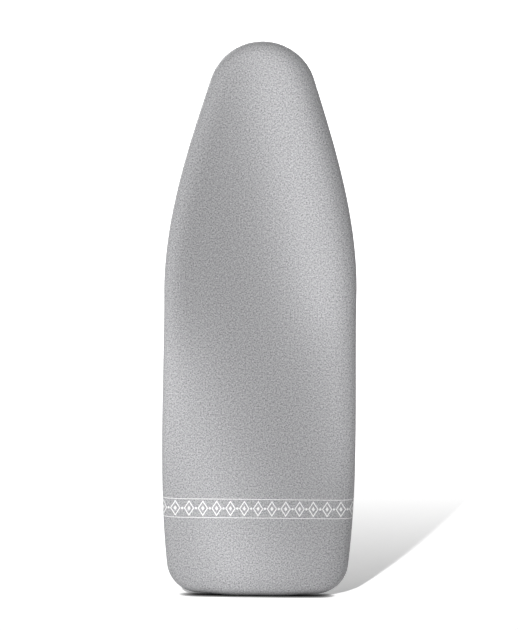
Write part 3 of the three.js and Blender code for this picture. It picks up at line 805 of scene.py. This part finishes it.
# Braided polyester: off-white, each strand a bundle of fine filaments with a faint sheen, and painted shade
# in the grooves between the strands.
cord_finish, tree = material("braided_polyester")
flat, along, up = flat_cloth(tree)
round_cord = sums(tree, "MULTIPLY", up, 4 / (cord_radius * MM))
down_cord = sums(tree, "MULTIPLY", along, math.pi / (braid_pitch * MM))
lays = [sums(tree, "SINE", sums(tree, way, round_cord, down_cord)) for way in ("ADD", "SUBTRACT")]
# Painted shade: the colour darkens in the grooves between the strands, where the braid is low.
strand_groove_painted_shade = ranged(tree, sums(tree, "ABSOLUTE", sums(tree, "MULTIPLY", *lays)), 0.0, 0.35)
surface(tree, {
    "Base Color": blended(tree, strand_groove_painted_shade, "#b3b2ae", "#eceae6"), "Roughness": 0.6, "IOR": 1.55,
    "Sheen Weight": 0.25, "Normal": bump(tree, noise(tree, flat, 0.5, 2), 0.35, 0.2)})
drawcord.data.materials.append(cord_finish)
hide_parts("drawcord")
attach(drawcord, "cover")

# Cord lock body: a moulded barrel, closed at one end and bored for the plunger, with a slot through
# it for both cords and two grooves to grip it by. It slides on the cords.
lock_radius = 7
barrel_foot = -12.35  # along the barrel from the cords
barrel_mouth = 6.5
barrel_round = 0.9
barrel_grooves = ((-9.4, -8.2), (-6.8, -5.6))
bore_foot = -10.55
bore_radius = 5.2
slot_half = 2.05
slot_across = 4.0
slot_through = 40
slot_round = 1.2


def added(operator, name, **settings):
    """A new object by one of Blender's operators, and the only one selected."""
    bpy.ops.object.select_all(action="DESELECT")
    operator(**settings)
    made = bpy.context.active_object
    made.name = name
    return made


def settle():
    """Takes the selected object's place, turn and size into its mesh."""
    bpy.ops.object.transform_apply(location=True, rotation=True, scale=True)


def cylinder(name, radius, first, last, middle, lying=False, sides=48):
    """A cylinder from a first to a last place along its own line, which stands or lies across the lock."""
    along = np.array([1, 0, 0]) if lying else np.array([0, 0, 1])
    made = added(
        bpy.ops.mesh.primitive_cylinder_add, name, vertices=sides, radius=radius * MM,
        depth=(last - first) * MM, location=(middle + along * (first + last) / 2) * MM,
        rotation=(0, math.pi / 2 * lying, 0))
    settle()
    return made


def pick(kind, test):
    """In edit mode, selects the faces whose middle and way out pass a test, or the edges whose ends do."""
    bpy.ops.mesh.select_mode(type=kind)
    bpy.ops.mesh.select_all(action="DESELECT")
    shape = bmesh.from_edit_mesh(bpy.context.edit_object.data)
    shape.normal_update()
    for part in shape.faces if kind == "FACE" else shape.edges:
        if kind == "FACE":
            part.select_set(bool(test(np.array(part.calc_center_median()) / MM, np.array(part.normal))))
        else:
            part.select_set(bool(test([np.array(corner.co) / MM for corner in part.verts])))
    bmesh.update_edit_mesh(bpy.context.edit_object.data)


def inset(thickness, depth=0.0):
    """In edit mode, insets the picked faces and raises or sinks them."""
    bpy.ops.mesh.inset(thickness=thickness * MM, depth=depth * MM)


def bevel(width, segments):
    """In edit mode, rounds the picked edges."""
    bpy.ops.mesh.bevel(offset=width * MM, segments=segments)


def drawn_out(way):
    """In edit mode, extrudes the picked faces along the lock's barrel."""
    bpy.ops.mesh.extrude_region_move(TRANSFORM_OT_translate={"value": (way * MM, 0, 0)})


def slice_at(place, way):
    """In edit mode, cuts a line of edges right round the piece at a place."""
    bpy.ops.mesh.select_all(action="SELECT")
    bpy.ops.mesh.bisect(plane_co=np.array(place) * MM, plane_no=way)


def grooved(grooves, axis, depth, outside=lambda middle: True):
    """In edit mode, sinks grooves round a moulding, each between two places along an axis."""
    way = np.eye(3)[axis]
    for place in np.ravel(grooves):
        slice_at(lock_place * (1 - way) + place * way, way)
    pick("FACE", lambda middle, out: outside(middle) and any(a < middle[axis] < b for a, b in grooves))
    inset(0.2, -depth)


def off_axis(point):
    return math.hypot(point[1] - lock_place[1], point[2] - lock_place[2])


def cut_by(piece, cutter):
    """Takes a cutter's shape out of a piece."""
    finished(piece, "BOOLEAN", operation="DIFFERENCE", solver="EXACT", object=cutter)
    bpy.data.objects.remove(cutter)


def slotted(piece, first, last):
    """Cuts the slot for the cords through a lock piece, with its four corners rounded."""
    middle = (lock_place + [(first + last) / 2, 0, 0]) * MM
    cutter = added(bpy.ops.mesh.primitive_cube_add, "cutter", size=1, location=middle)
    cutter.scale = np.array([last - first, 2 * slot_across, slot_through]) * MM
    settle()
    bpy.ops.object.mode_set(mode="EDIT")
    pick("EDGE", lambda ends: abs(ends[0][2] - ends[1][2]) > 1)
    bevel(slot_round, 4)
    bpy.ops.object.mode_set(mode="OBJECT")
    cut_by(piece, cutter)


def edges_broken(piece, width, angle):
    """Rounds a piece's sharp edges."""
    angle = math.radians(angle)
    finished(piece, "BEVEL", width=width * MM, segments=2, limit_method="ANGLE", angle_limit=angle)


def moulded(piece, edge):
    """Breaks the sharp edges of a moulding and smooths its rounds."""
    edges_broken(piece, edge, 38)
    bpy.ops.object.mode_set(mode="EDIT")
    bpy.ops.mesh.select_all(action="SELECT")
    bpy.ops.mesh.dissolve_degenerate(threshold=0.004 * MM)
    bpy.ops.object.mode_set(mode="OBJECT")
    bpy.ops.object.shade_smooth_by_angle(angle=math.radians(35))


lock_body = cylinder("lock_barrel", lock_radius, barrel_foot, barrel_mouth, lock_place, lying=True)
bpy.ops.object.mode_set(mode="EDIT")
pick("FACE", lambda middle, way: way[0] > 0.9)
inset(lock_radius - bore_radius)
drawn_out(bore_foot - barrel_mouth)
rim = lock_radius - 0.1
pick("EDGE", lambda ends: min(map(off_axis, ends)) > rim and abs(ends[0][0] - ends[1][0]) < 0.01)
bevel(barrel_round, 4)
grooved(barrel_grooves, axis=0, depth=0.55, outside=lambda middle: off_axis(middle) > lock_radius - 0.5)
bpy.ops.object.mode_set(mode="OBJECT")
slotted(lock_body, -slot_half, slot_half)
moulded(lock_body, edge=0.22)

# Acetal: a dark grey moulded plastic, satin from the 0.5 mm texture of its mould, with a few scuffs.
plastic_finish, tree = material("moulded_acetal")
where = on_object(tree)
scuffs = noise(tree, where, 4, 5, Roughness=0.7)
surface(tree, {
    "Base Color": blended(tree, scuffs, "#2f3135", "#46484d"), "IOR": 1.48,
    "Roughness": ranged(tree, scuffs, 0.3, 0.7, 0.36, 0.52),
    "Normal": bump(tree, noise(tree, where, 0.5, 3), 0.25, 0.1)})
lock_body.data.materials.append(plastic_finish)
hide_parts("cord_lock_body")
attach(lock_body, "cord_lock")

# Plunger: moulded in one with its button, pushed out by the spring so that its slot nips the cords.
# The button has a dished end with a raised ring for the thumb.
plunger_foot = -4.05
plunger_travel = 3.5
button_foot = 10.3
button_end = 14.8
button_radius = 6.2
button_round = 1.7
button_dish = ((0.7, -0.35), (0.9, 0.0), (0.4, 0.25), (0.5, -0.25))  # steps inwards and up, from the rim
stem_radius = 4.9
plunger = cylinder("lock_plunger_button", button_radius, button_foot, button_end, lock_place, lying=True)
bpy.ops.object.mode_set(mode="EDIT")
pick("FACE", lambda middle, way: way[0] < -0.9)
inset(button_radius - stem_radius)
drawn_out(plunger_foot - button_foot)
rim = button_radius - 0.1
pick("EDGE", lambda ends: all(off_axis(end) > rim and end[0] > button_end - 0.1 for end in ends))
bevel(button_round, 5)
pick("FACE", lambda middle, way: way[0] > 0.9 and middle[0] > button_end - 0.05)
for inwards, rise in button_dish:
    inset(inwards, rise)
bpy.ops.object.mode_set(mode="OBJECT")
slotted(plunger, -slot_half, slot_half + plunger_travel)
moulded(plunger, edge=0.2)
plunger.data.materials.append(plastic_finish)
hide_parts("cord_lock_plunger")
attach(plunger, "plunger")

# Spring: three turns of steel wire between the bottom of the barrel and the plunger.
# It shortens as the button is pressed.
wire_radius = 0.35
coil_radius = 4.2
coil_first = -9.9
coil_run = 5.2
coil_turns = 3
coil_steps = 28
coil_foot = lock_place + [coil_first, 0, 0]
spring = added(bpy.ops.mesh.primitive_circle_add, "lock_spring_coil", vertices=12, radius=wire_radius * MM,
               location=coil_foot * MM)
bpy.ops.object.mode_set(mode="EDIT")
bpy.ops.transform.translate(value=(0, coil_radius * MM, 0))
bpy.ops.object.mode_set(mode="OBJECT")
finished(spring, "SCREW", axis="X", angle=2 * math.pi, iterations=coil_turns, steps=coil_steps,
         render_steps=coil_steps, screw_offset=coil_run / coil_turns * MM, use_smooth_shade=True)
settle()
capped(spring)

# Spring steel: bright drawn wire with faint lines along it.
steel_finish, tree = material("drawn_spring_steel")
polish = ranged(tree, noise(tree, on_object(tree), 0.4, 3), 0.0, 1.0, 0.2, 0.4)
surface(tree, {"Base Color": linear("#b9bcc0"), "Metallic": 1.0, "Roughness": polish})
spring.data.materials.append(steel_finish)
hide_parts("cord_lock_spring")
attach(spring, "cord_lock")
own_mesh(spring)

# Cord pull: a moulded end that holds both cord ends, to draw the cord up by. It is slightly waisted
# towards the cords and has three grooves for the fingers.
pull_foot = 13.5
pull_waist = 25.5
pull_top = 35.5
pull_radius = 5.6
pull_round = 1.6
neck_radius = 5.1
neck_round = 0.7
pull_grooves = ((16.4, 17.6), (19.0, 20.2), (21.6, 22.8))
hole_radius = 2.05
hole_depth = 12
pull_line = lock_place * [1, 1, 0]
pull = cylinder("cord_pull_moulding", pull_radius, pull_foot, pull_top, pull_line)
bpy.ops.object.mode_set(mode="EDIT")
pick("EDGE", lambda ends: all(end[2] < pull_foot + 0.1 for end in ends))
bevel(pull_round, 5)
slice_at(pull_line + [0, 0, pull_waist], (0, 0, 1))
pick("FACE", lambda middle, way: way[2] > 0.9)
narrow = neck_radius / pull_radius
bpy.ops.transform.resize(value=(narrow, narrow, 1), center_override=(pull_line + [0, 0, pull_top]) * MM)
pick("EDGE", lambda ends: all(end[2] > pull_top - 0.1 for end in ends))
bevel(neck_round, 3)
grooved(pull_grooves, axis=2, depth=0.5)
bpy.ops.object.mode_set(mode="OBJECT")
for side in (-1, 1):
    hole_line = pull_line + [0, side * cords_apart, 0]
    drill = cylinder("drill", hole_radius, pull_top - hole_depth, pull_top + hole_depth, hole_line, sides=32)
    cut_by(pull, drill)
moulded(pull, edge=0.18)
pull.data.materials.append(plastic_finish)
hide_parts("cord_pull")
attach(pull, "cover")

# Straps: three lengths of elastic webbing across the open back. One end of each is sewn to the
# skirt with a crossed box of stitches; the other carries a hook patch that closes on a loop patch.
strap_width = 25
strap_thickness = 1.6
strap_edge = 0.45
strap_low = 16.65
strap_high = 23.35
strap_closed = 19.85
strap_clear = 9  # from its bends inwards to where it is clear of the tunnel
strap_spacing = (0.8, 4)  # of its corners, at a bend and away from it
anchor_length = 24
anchor_margins = (2.5, 3.5)  # of its box of stitches, at the end and at the bend
anchor_box = 10  # half the height of the box
hinge_gap = 1.2
patch_length = 36
patch_margin = 2
patch_box = 10.5
tab_length = 12
thread_rise = 0.08
strap_pitch = 2.8
strap_thread = 0.7
fine_step = 0.25
fine_reach = 24  # steps over which the strap's bends are softened

# Elastic webbing: ribs of covered rubber along it, with the crossing yarn between them. Its colour follows
# the relief, with painted shade where it is low between the ribs and a tone that varies at random. The ribs
# are drawn at 1.6 mm.
elastic_finish, tree = material("elastic_webbing")
flat, along, up = flat_cloth(tree)
ribs = waves(tree, up, 1.6)
yarn = sums(tree, "MULTIPLY", along, 2 * math.pi / (1.3 * MM))
picks = sums(tree, "SINE", sums(tree, "ADD", yarn, sums(tree, "MULTIPLY", ribs, 1.3)))
knit = sums(tree, "ADD", sums(tree, "MULTIPLY", ribs, 0.6), sums(tree, "MULTIPLY", picks, 0.35))
knit = sums(tree, "ADD", knit, noise(tree, flat, 0.7, 2))
# Painted shade: the colour darkens where the webbing's relief is low, between the ribs.
surface(tree, {
    "Base Color": blended(tree, ranged(tree, knit, -0.4, 1.3), "#a9abad", "#d9dadb"), "Roughness": 0.8,
    "IOR": 1.5, "Sheen Weight": 0.15, "Normal": bump(tree, knit, 0.7, 0.3)})


def box_of(first, last, half, depth, height, crossed=False):
    """The lines of a stitched box on the back, and its diagonals if it is crossed."""
    around = ((first, -half), (last, -half), (last, half), (first, half))
    corner = [np.array([x, depth, height + z]) for x, z in around]
    ends = [(0, 1), (1, 2), (2, 3), (3, 0)] + [(0, 2), (1, 3)] * crossed
    return [np.array([corner[a], corner[b]]) for a, b in ends]


for name, (height, level) in strap_levels.items():
    over_tunnel = level - strap_clear
    anchor_end = -level - hinge_gap
    corner_x = [anchor_end - anchor_length, -level + hinge_gap, -over_tunnel, over_tunnel, level,
                level + patch_length + tab_length]
    corner_y = [strap_low, strap_low, strap_high, strap_high, strap_closed, strap_closed]
    fine_x = np.arange(corner_x[0], corner_x[-1] + fine_step, fine_step)
    fine_y = np.pad(np.interp(fine_x, corner_x, corner_y), fine_reach, "edge")
    soften = np.exp(-0.5 * (np.arange(-fine_reach, fine_reach + 1) / 7) ** 2)
    fine_y = np.convolve(fine_y, soften / soften.sum(), "valid")
    near = np.abs(np.abs(fine_x)[:, None] - [level, over_tunnel]).min(1)
    dense = np.append(0, np.cumsum(fine_step / np.clip(near / 4, *strap_spacing))[:-1])
    at = np.interp(np.linspace(0, dense[-1], round(dense[-1]) + 1), dense, fine_x)
    middle = np.interp(at, fine_x, fine_y)
    gone = run_of(np.stack([at, middle], 1))
    lean = np.gradient(middle, at)
    top = np.stack([at, middle], 1) + strap_thickness / 2 * (
        np.stack([-lean, np.ones(len(at))], 1) / np.hypot(lean, 1)[:, None])
    across = np.linspace(-strap_width / 2, strap_width / 2, 15)
    rows = [np.insert(top, 2, height + z, axis=1) for z in across]
    strap = cloth(f"strap_webbing_{name}", rows, [strip(gone, z) for z in across])
    thickened(strap, strap_thickness)
    edges_broken(strap, strap_edge, angle=60)
    strap.data.materials.append(elastic_finish)
    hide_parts(f"strap_{name}", f"strap_anchor_{name}")
    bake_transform(strap)
    anchor_top = strap_low + strap_thickness / 2 + thread_rise
    first, last = corner_x[0] + anchor_margins[0], anchor_end - anchor_margins[1]
    box = box_of(first, last, anchor_box, anchor_top, height, crossed=True)
    stitches(f"anchor_stitches_{name}", box, "cover", strap_pitch, strap_thread)
    patch_top = strap_closed + strap_thickness / 2 + thread_rise
    box = box_of(level + patch_margin, level + patch_length - patch_margin, patch_box, patch_top, height)
    stitches(f"patch_stitches_{name}", box, f"strap_{name}", strap_pitch, strap_thread)

# Hook and loop patches: nylon tape, 25 by 36 millimetres. The hook half is sewn under the strap's
# end, with stiff little hooks; the loop half is sewn to the skirt, with a brushed pile of loops.
patch_backing = 0.55
patch_edge = 0.15
pile_inside = 2.2  # from the ends of the tape
pile_half = 10.2
root = 0.05  # how deep the strands start in the tape
loop_floor = 15.85
loop_margin = 0.9
loop_box = 11.6
hook_top = 18.75
hook_pitch = 1.6
hook_thick = 0.11
hook_shape = ((0, 0), (0, -0.4), (0.12, -0.62), (0.34, -0.66), (0.46, -0.5))  # aside, up
loop_pitch = 1.25
loop_thick = 0.08
loop_shape = ((-0.5, 0), (-0.55, 0.4), (-0.2, 0.68), (0.25, 0.66), (0.55, 0.35), (0.5, 0))
loop_stray = 0.4

# Woven nylon: mid grey, a little shiny on the hooks and matt in the brushed pile.
nylon_finish, tree = material("grey_nylon")
pile = noise(tree, on_object(tree), 0.9, 4, Roughness=0.65)
surface(tree, {
    "Base Color": blended(tree, pile, "#55585c", "#84878b"), "Roughness": 0.7, "IOR": 1.53,
    "Sheen Weight": 0.2, "Normal": bump(tree, pile, 0.5, 0.4)})


def small_bends(feet, shape, thick, turns):
    """Many little bent strands, each a few points long and three-sided, on feet in millimetres."""
    corners, faces = [], []
    for foot, turn in zip(feet, turns):
        across_way = np.array([math.cos(turn), 0, math.sin(turn)])
        edge_way = np.array([-math.sin(turn), 0, math.cos(turn)])
        base = len(corners)
        for out, up in shape:
            for spin in range(3):
                a = 2 * math.pi * spin / 3
                aside = across_way * (out + thick * math.cos(a)) + edge_way * thick * math.sin(a)
                corners.append(foot + aside + np.array([0, up, 0]))
        for i in range(len(shape) - 1):
            for k in range(3):
                one, two = base + 3 * i + k, base + 3 * i + (k + 1) % 3
                faces.append([one, two, two + 3, one + 3])
        faces += [[base + 2, base + 1, base], list(range(len(corners) - 3, len(corners)))]
    return placed("bends", corners, faces, smooth=False)


chance = np.random.default_rng(23)
for name, (height, level) in strap_levels.items():
    for half in ("hook", "loop"):
        hooked = half == "hook"
        top = hook_top if hooked else loop_floor + patch_backing
        along = np.linspace(level, level + patch_length, 13)
        across = np.linspace(-strap_width / 2, strap_width / 2, 9)
        rows = [np.stack([along, np.full(13, top), np.full(13, height + z)], 1) for z in across]
        patch = cloth(f"{half}_tape_{name}", rows, [strip(along - level, z) for z in across])
        thickened(patch, patch_backing)
        edges_broken(patch, patch_edge, angle=60)
        pitch = hook_pitch if hooked else loop_pitch
        places = [(x, z) for x in np.arange(level + pile_inside, level + patch_length - pile_inside, pitch)
                  for z in np.arange(height - pile_half, height + pile_half, pitch)]
        if hooked:
            feet = [np.array([x, hook_top - patch_backing + root, z]) for x, z in places]
            turns = [0 if i % 2 else math.pi for i in range(len(feet))]
            strands = small_bends(feet, hook_shape, hook_thick, turns)
        else:
            feet = [np.array([x + chance.uniform(-loop_stray, loop_stray), top - root,
                              z + chance.uniform(-loop_stray, loop_stray)]) for x, z in places]
            turns = chance.uniform(0, 2 * math.pi, len(feet))
            strands = small_bends(feet, loop_shape, loop_thick, turns)
        chosen(patch)
        strands.select_set(True)
        bpy.ops.object.join()
        patch.data.materials.clear()
        patch.data.materials.append(nylon_finish)
        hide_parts(f"{half}_patch_{name}")
        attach(patch, f"strap_{name}" if hooked else "cover")
    loop_top = loop_floor + patch_backing + 0.05
    box = box_of(level + loop_margin, level + patch_length - loop_margin, loop_box, loop_top, height)
    stitches(f"loop_stitches_{name}", box, "cover", strap_pitch)

# Care label: a bare strip of white satin ribbon, folded in two.
# Both its ends are caught under the binding, and the fold lies loose on the skirt.
label_root = 183.91
label_end = 157.91
label_half = 19
label_floor = 15.85
label_lift = 0.55  # at the fold
label_curl = 0.18
ribbon = 0.16
turn_radius = 0.22
t = np.linspace(0, 1, 22)
under = np.stack([label_root + t * (label_end + turn_radius - label_root),
                  label_floor + ribbon + label_lift * t**3], 1)
turned = [under[-1] + turn_radius * np.array([-math.sin(a), 1 - math.cos(a)])
          for a in np.linspace(0, math.pi, 9)[1:-1]]
over = under[::-1] + np.stack([np.zeros(len(t)), 2 * turn_radius - ribbon * t**2], 1)
profile = np.concatenate([under, turned, over])
gone = run_of(profile)
across = np.linspace(-label_half, label_half, 25)
rows = []
for z in across:
    curl = label_curl * np.cos(z / label_half * math.pi / 2) * np.sin(gone / gone[-1] * math.pi)
    rows.append(np.stack([profile[:, 0], profile[:, 1] + curl, np.full(len(gone), label_height + z)], 1))
label = cloth("satin_label", rows, [strip(gone, z) for z in across])
thickened(label, ribbon)

# Polyester satin: smooth and white, with a soft gloss along its threads and a sealed edge.
satin_finish, tree = material("white_satin")
flat, along, up = flat_cloth(tree)
sateen = streaks(tree, flat, (120, 2600), 2)
surface(tree, {
    "Base Color": blended(tree, sateen, "#e2e1db", "#f7f6f2"), "Roughness": 0.38, "IOR": 1.55,
    "Anisotropic": 0.4, "Normal": bump(tree, sateen, 0.2, 0.1)})
label.data.materials.append(satin_finish)
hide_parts("care_label")
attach(label, "cover")

# Floor: a pale matt studio sweep. To the camera it is white, with the cover's shadow from its own lamp on it.
# A painted glow grows towards the back and fades the shadow to white, and painted contact shade makes a dark
# line where the cover stands on it.
floor_size = 60
painted_contact_reach = 0.018  # of the painted contact shade, a dark line, in metres
painted_fade_run = 1.42  # to where the painted glow has faded the shadow out
painted_glow_levels = (0.28, 0.955)  # levels of the painted glow, under the cover and at that distance


def seen_rays(tree):
    """One for what the camera sees, also by way of a gloss or a clear piece, and none for the rest."""
    rays = add_node(tree, "LightPath")
    seen = sums(tree, "MAXIMUM", rays["Is Camera Ray"], rays["Is Glossy Ray"])
    return sums(tree, "MAXIMUM", seen, rays["Is Transmission Ray"])


floor = added(bpy.ops.mesh.primitive_plane_add, "studio_floor", size=floor_size, location=(0, 0, 0))
floor_finish, tree = material("pale_studio_floor")
seen = seen_rays(tree)
# Painted contact shade: the floor's colour and glow darken where the cover stands close over it.
painted_contact_shade = sums(tree, "POWER", add_node(tree, "AmbientOcclusion", {"Distance": painted_contact_reach})["AO"], 2.0)
pale = toned(tree, blended(tree, seen, "#e4e4e4", "#ffffff"), painted_contact_shade)
matt = add_node(tree, "BsdfDiffuse", {"Color": pale})[0]
back = add_node(tree, "SeparateXYZ", {"Vector": on_object(tree)})["Y"]
# Painted light: the floor glows more towards the back, so that the lamp's shadow fades to white.
painted_fade_glow = sums(tree, "MULTIPLY", ranged(tree, back, 0.0, painted_fade_run, *painted_glow_levels), painted_contact_shade)
painted_fade_glow = sums(tree, "MULTIPLY", seen, painted_fade_glow)
glow = add_node(tree, "Emission", {"Color": linear("#ffffff"), "Strength": painted_fade_glow})[0]
add_node(tree, "OutputMaterial", {"Surface": add_node(tree, "AddShader", {0: matt, 1: glow})[0]})
floor.data.materials.append(floor_finish)

# Light: a low lamp from the front left for the floor alone, which throws the shadow back to the right.
# On the cover, a soft key from the front, a softbox on the left and one behind, and narrow strips
# close in front that shade its face from side to side. The room is dim, and white to the camera.
room_levels = (0.13, 0.11)  # left and right
strip_spread = 140  # degrees
world = bpy.data.worlds.new("studio")
bpy.context.scene.world = world
world.use_nodes = True
tree = world.node_tree
tree.nodes.clear()
way = add_node(tree, "SeparateXYZ", {"Vector": add_node(tree, "TexCoord")["Generated"]})["X"]
given = ranged(tree, way, -1.0, 1.0, *room_levels)
level = add_node(tree, "Mix", {"Factor": seen_rays(tree), "A": given, "B": 1.0})["Result"]
room = add_node(tree, "Background", {"Color": linear("#ffffff"), "Strength": level})[0]
add_node(tree, "OutputWorld", {"Surface": room})

# Each lamp's name, place, turn in degrees, strength, and size in metres or, for a sun, in degrees
for kind, name, place, turn, power, size in (
    ("SUN", "floor_light", (-1, -4, 2), (65, 0, -14.5), 4.8, 2),
    ("SUN", "key_light", (-1, -4, 3), (54, 0, -11), 1.22, 4),
    ("AREA", "left_softbox", (-2.2, -1.0, 0.9), (84, 0, -65), 27.4, (1.4, 1.4)),
    ("AREA", "left_strip", (-0.45, -0.20, 0.50), (90, 0, -58), 0.1, (0.1, 0.6)),
    ("AREA", "low_left_strip", (-0.13, -0.19, 0.28), (90, -18, 0), 0.192, (0.05, 0.58)),
    ("AREA", "foot_strip", (-0.03, -0.26, 0.03), (95, 0, 0), 0.075, (0.3, 0.03)),
    ("AREA", "right_strip", (0.128, -0.17, 0.76), (90, -13, 0), 0.252, (0.05, 1.06)),
    ("AREA", "high_right_strip", (0.06, -0.15, 0.92), (90, -14, 0), 0.094, (0.05, 0.7)),
    ("AREA", "rear_softbox", (-0.6, 2.6, 1.6), (-70, 0, 12.5), 95, (3.0, 1.6)),
):
    lamp = added(bpy.ops.object.light_add, name, type=kind, location=place, rotation=np.radians(turn))
    lamp.data.energy = power
    lamp.visible_camera = False
    if kind == "SUN":
        lamp.data.angle = math.radians(size)
    else:
        lamp.data.shape = "RECTANGLE"
        lamp.data.size, lamp.data.size_y = size
        lamp.data.spread = math.radians(strip_spread if "strip" in name else 180)
    lit = bpy.data.collections.new(f"{name}_on_floor")
    lit.objects.link(floor)
    lit.collection_objects[0].light_linking.link_state = "INCLUDE" if name == "floor_light" else "EXCLUDE"
    lamp.light_linking.receiver_collection = lit

# Camera: far off with a long lens, a little above the middle of the cover and square to its face.
# It is turned a touch, so that the cover leans to the right in the picture.
elevation = math.radians(7.5)
lean = math.radians(0.6)
distance = 10.0
frame_height = 1.365
aim = Vector((-0.0024, 0, 0.6165))
look = Euler((math.pi / 2 - elevation, 0, 0)).to_matrix()
camera = added(bpy.ops.object.camera_add, "photo_camera", location=aim + look @ Vector((0, 0, distance)))
camera.rotation_euler = (look @ Matrix.Rotation(lean, 3, "Z")).to_euler()
camera.data.lens = camera.data.sensor_width * distance / frame_height  # the sensor's width is the long side's
bpy.context.scene.camera = camera
bpy.context.scene.view_settings.view_transform = "Standard"
